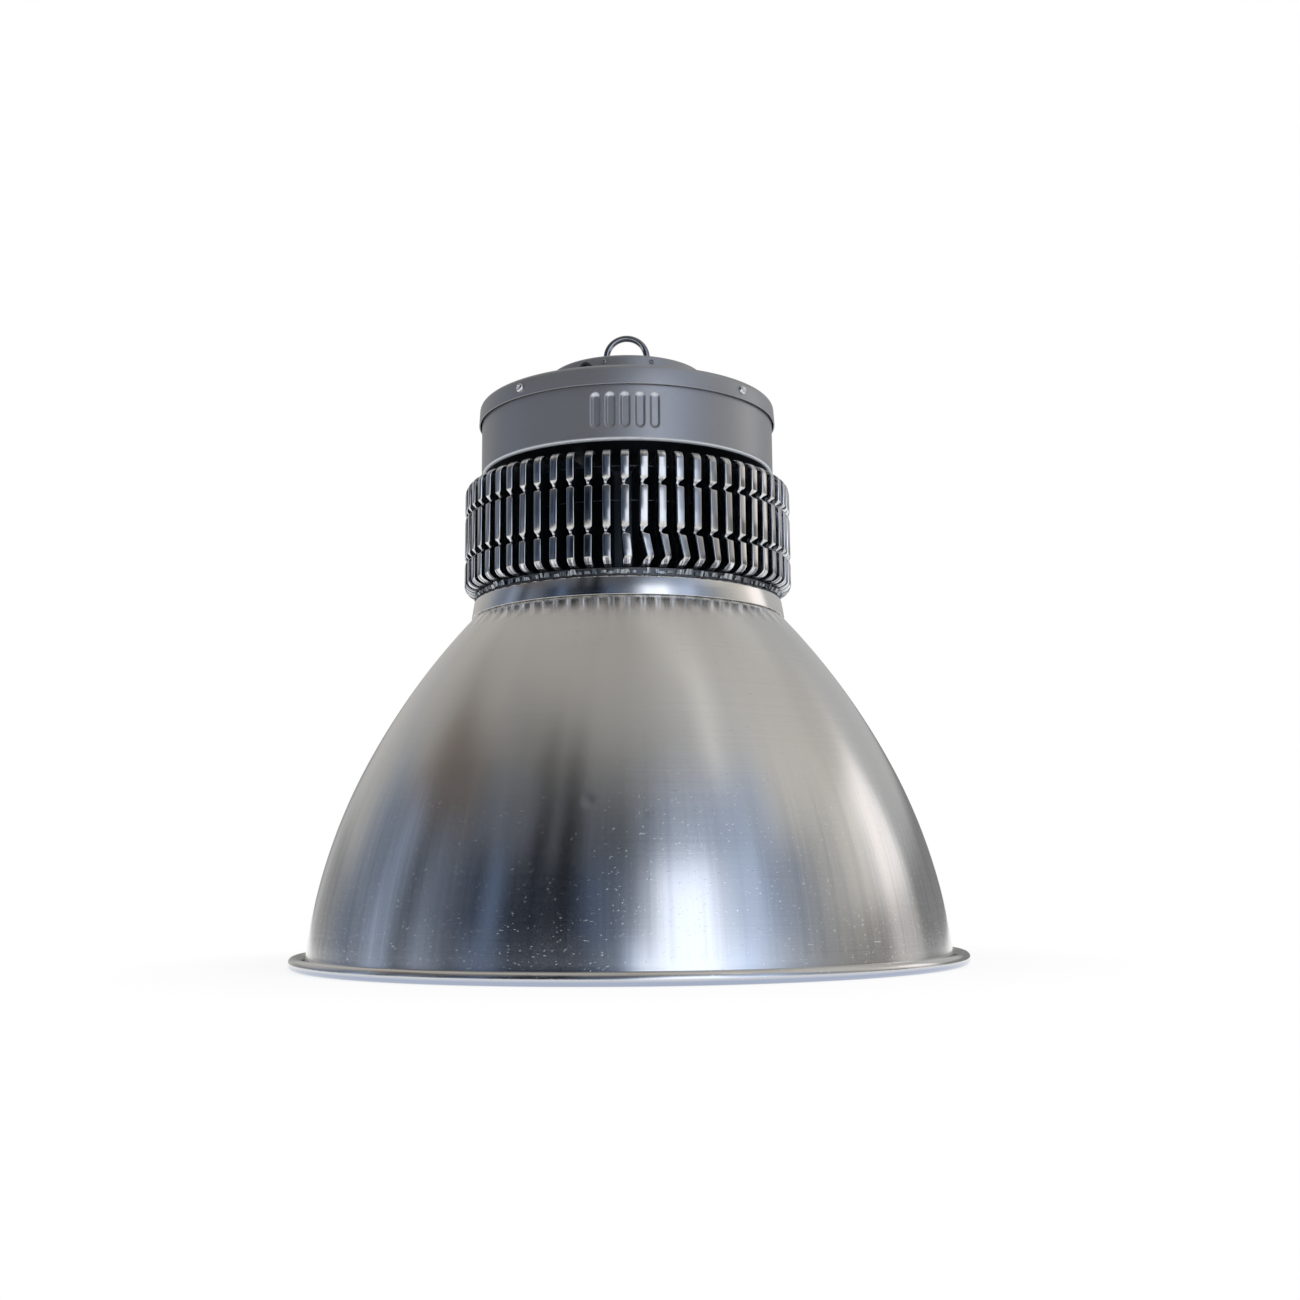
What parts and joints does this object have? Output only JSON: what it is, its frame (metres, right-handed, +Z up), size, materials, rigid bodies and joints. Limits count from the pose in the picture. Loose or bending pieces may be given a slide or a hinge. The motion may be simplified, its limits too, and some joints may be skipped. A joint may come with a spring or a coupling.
{
  "type": "high bay light",
  "caption": "Ring-hung LED high bay light: grey driver housing with a lid, radial stamped-fin heat sink, collar and lens, and a wide spun aluminium reflector.",
  "frame": {"origin": "centre of the circle on which the reflector's bead stands", "axes": "+Z up to the suspension eye, -Y the front, with the row of pressed grooves, +X to the right seen from the front"},
  "size_m": [0.4799, 0.48, 0.4699],
  "materials": {
    "chrome": "bright chromium plate",
    "zinc_steel": "bright zinc plate",
    "grey_paint": "satin silver-grey powder coat",
    "rubber": "matt",
    "driver_shell": "satin",
    "terminal_plastic": "moulded",
    "fin_aluminium": "bright stamped",
    "plate_aluminium": "milled",
    "board_aluminium": "plain",
    "phosphor": "cast silicone",
    "collar_aluminium": "turned satin",
    "silicone": "matt",
    "clear_glass": "polished",
    "spun_aluminium": "spun, fine circular lines",
    "lead_sheath": "matt"
  },
  "bodies": {
    "root": {"suspension_eye": "chrome", "eye_plate": "zinc_steel", "eye_washer": "zinc_steel", "eye_nut": "zinc_steel", "boss_rivets": "grey_paint", "top_cover": "grey_paint", "cover_screws": "zinc_steel", "cover_nuts": "zinc_steel", "cable_grommet": "rubber", "driver_housing": "grey_paint", "housing_screws": "zinc_steel", "housing_standoffs": "zinc_steel", "driver_case": "driver_shell", "driver_end_caps": "driver_shell", "driver_screws": "zinc_steel", "terminal_block": "terminal_plastic", "terminal_screw": "zinc_steel", "wire_bush": "rubber", "led_lead": "lead_sheath", "heat_sink": "fin_aluminium", "carrier_plate": "plate_aluminium", "plate_screws": "zinc_steel", "led_board": "board_aluminium", "led_emitter": "phosphor", "led_board_screws": "zinc_steel", "collar": "collar_aluminium", "lens_seal": "silicone", "lens_glass": "clear_glass", "lens_gasket": "silicone", "reflector": "spun_aluminium", "reflector_screws": "zinc_steel"}
  },
  "joints": []
}
